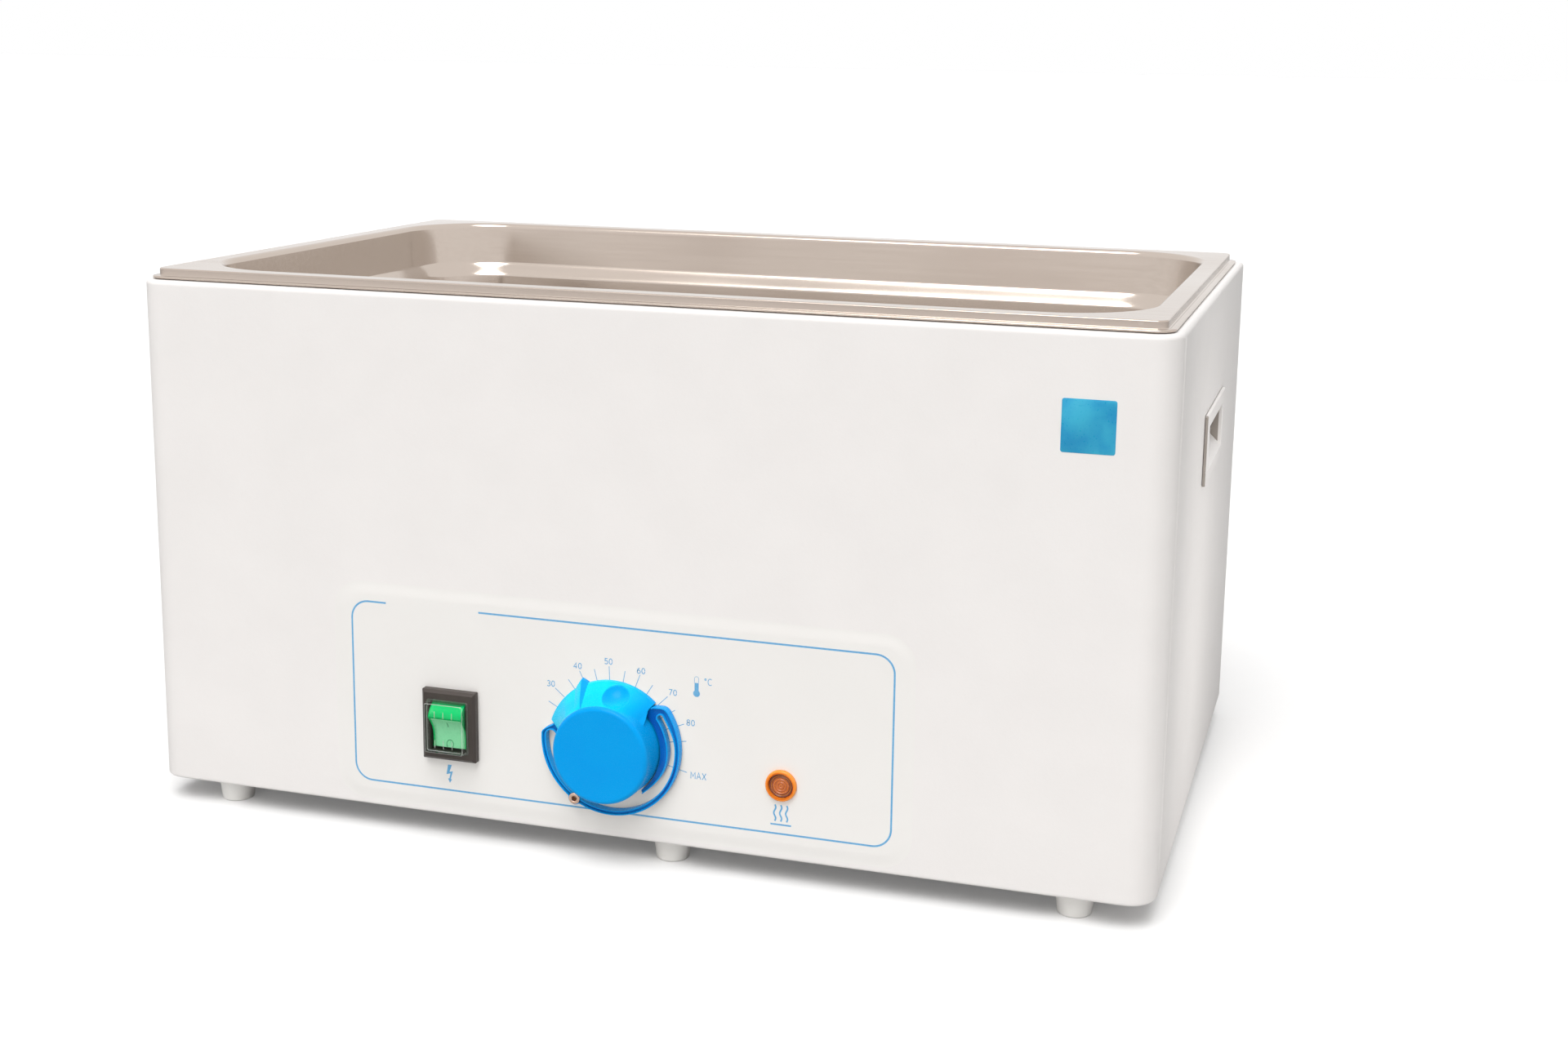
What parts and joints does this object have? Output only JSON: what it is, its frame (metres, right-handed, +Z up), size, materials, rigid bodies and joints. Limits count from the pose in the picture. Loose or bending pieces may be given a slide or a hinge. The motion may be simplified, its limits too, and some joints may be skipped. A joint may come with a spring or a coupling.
{
  "type": "laboratory water bath",
  "caption": "Bench water bath: rectangular stainless tank in a white sheet-metal case with temperature knob, mains rocker switch, heater lamp and side grips.",
  "frame": {"origin": "on the bench, under the middle of the whole bath, in the plane of the feet", "axes": "+X to the right seen from the controls, +Y from the controls to the rear panel, +Z up"},
  "size_m": [0.5488, 0.3658, 0.2938],
  "materials": {
    "white_paint": "satin powder coat",
    "foot_plastic": "matte",
    "stainless": "drawn, softly polished",
    "zinc": "zinc plated",
    "gasket_rubber": "matte",
    "wool": "fibrous",
    "heater_silicone": "matte",
    "spreader_aluminium": "rolled",
    "overlay_film": "satin film",
    "knob_blue": "moulded, satin gloss",
    "ring_blue": "moulded, satin gloss",
    "eyelet_nickel": "plated",
    "black_plastic": "moulded",
    "rocker_green": "translucent",
    "cover_clear": "clear",
    "lens_orange": "translucent",
    "pin_brass": "plain",
    "copper": "drawn tube",
    "ceramic": "unglazed",
    "brown_wire": "insulation",
    "blue_wire": "insulation",
    "earth_wire": "insulation"
  },
  "bodies": {
    "case": {"case_shell": "white_paint", "rear_panel": "white_paint", "base_plate": "white_paint", "handle_left": "white_paint", "handle_right": "white_paint", "foot_front_left": "foot_plastic", "foot_front_middle": "foot_plastic", "foot_front_right": "foot_plastic", "foot_rear_left": "foot_plastic", "foot_rear_middle": "foot_plastic", "foot_rear_right": "foot_plastic", "foot_screw_front_left": "zinc", "foot_screw_front_middle": "zinc", "foot_screw_front_right": "zinc", "foot_screw_rear_left": "zinc", "foot_screw_rear_middle": "zinc", "foot_screw_rear_right": "zinc", "cradle_strap_left": "zinc", "cradle_strap_right": "zinc", "thermostat_nut": "zinc", "bulb_clip": "zinc", "inlet_screw_left": "zinc", "inlet_screw_right": "zinc", "rear_screw_low_left": "zinc", "rear_screw_low_right": "zinc", "rear_screw_high_left": "zinc", "rear_screw_high_right": "zinc", "tank": "stainless", "rim_gasket": "gasket_rubber", "insulation_jacket": "wool", "insulation_base": "wool", "heater_mat": "heater_silicone", "heat_spreader": "spreader_aluminium", "control_overlay": "overlay_film", "switch_body": "black_plastic", "lamp_body": "black_plastic", "lamp_nut": "black_plastic", "inlet_body": "black_plastic", "overheat_cutout": "black_plastic", "switch_cover": "cover_clear", "lamp_lens": "lens_orange", "inlet_pin_live": "pin_brass", "inlet_pin_neutral": "pin_brass", "inlet_pin_earth": "pin_brass", "earth_stud": "pin_brass", "thermostat_capillary": "copper", "thermostat_bulb": "copper", "thermostat_body": "ceramic", "terminal_block": "ceramic", "wire_live": "brown_wire", "wire_switch_thermostat": "brown_wire", "wire_thermostat_cutout": "brown_wire", "wire_neutral": "blue_wire", "wire_lamp": "blue_wire", "wire_earth": "earth_wire"},
    "knob": {"knob": "knob_blue", "knob_spindle": "zinc", "clip_ring": "ring_blue", "ring_eyelet": "eyelet_nickel"},
    "rocker": {"switch_rocker": "rocker_green"}
  },
  "joints": [
    {"name": "knob_turn", "type": "hinge", "parent": "case", "child": "knob", "pos_m": [-0.0025, -0.16353, 0.0632], "axis": [0, 1, 0], "range_deg": [-36, 130]},
    {"name": "rocker_tip", "type": "hinge", "parent": "case", "child": "rocker", "pos_m": [-0.0927, -0.16053, 0.0638], "axis": [-1, 0, 0], "range_deg": [0, 38]}
  ]
}
